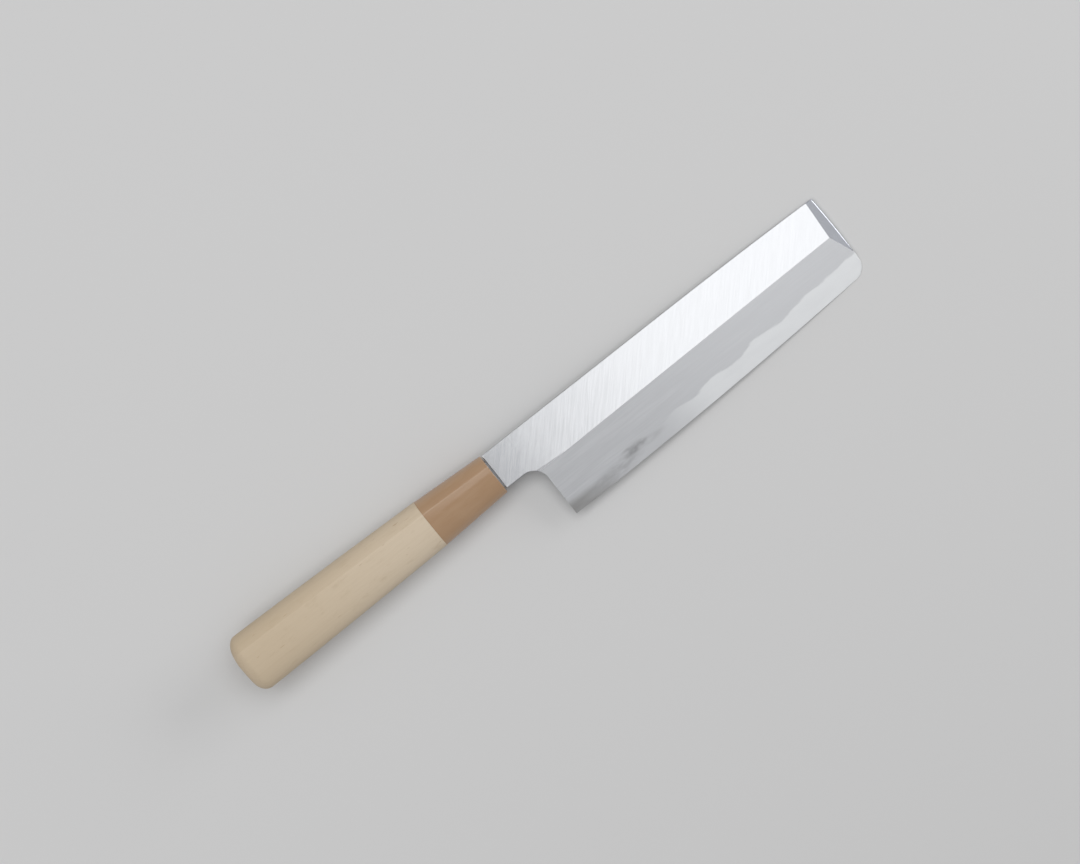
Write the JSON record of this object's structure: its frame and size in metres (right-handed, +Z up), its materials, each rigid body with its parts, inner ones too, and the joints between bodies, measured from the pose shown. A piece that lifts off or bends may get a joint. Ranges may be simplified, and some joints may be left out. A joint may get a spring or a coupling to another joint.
{
  "type": "usuba knife",
  "caption": "Single-bevel vegetable knife: square-tipped laminated blade with a hollow back, on a ridged oval wooden handle with a moulded ferrule.",
  "frame": {"origin": "on the table, under the middle of the knife's box as it lies with its bevelled face up", "axes": "+X along the knife from butt to tip, +Y across the blade towards the spine, +Z up, out of the bevelled face"},
  "size_m": [0.29, 0.0458, 0.0225],
  "materials": {
    "soft_iron": "satin, with fine diagonal grinding marks on the flat and lengthwise ones on the bevel",
    "hard_steel": "fine satin, brighter than the iron",
    "tan_plastic": "polished, horn coloured",
    "magnolia_wood": "bare sanded wood, straight grained",
    "dark_resin": "set resin"
  },
  "bodies": {
    "root": {"blade_cladding": "soft_iron", "edge_steel": "hard_steel", "ferrule": "tan_plastic", "handle_grip": "magnolia_wood", "mouth_seal": "dark_resin"}
  },
  "joints": []
}
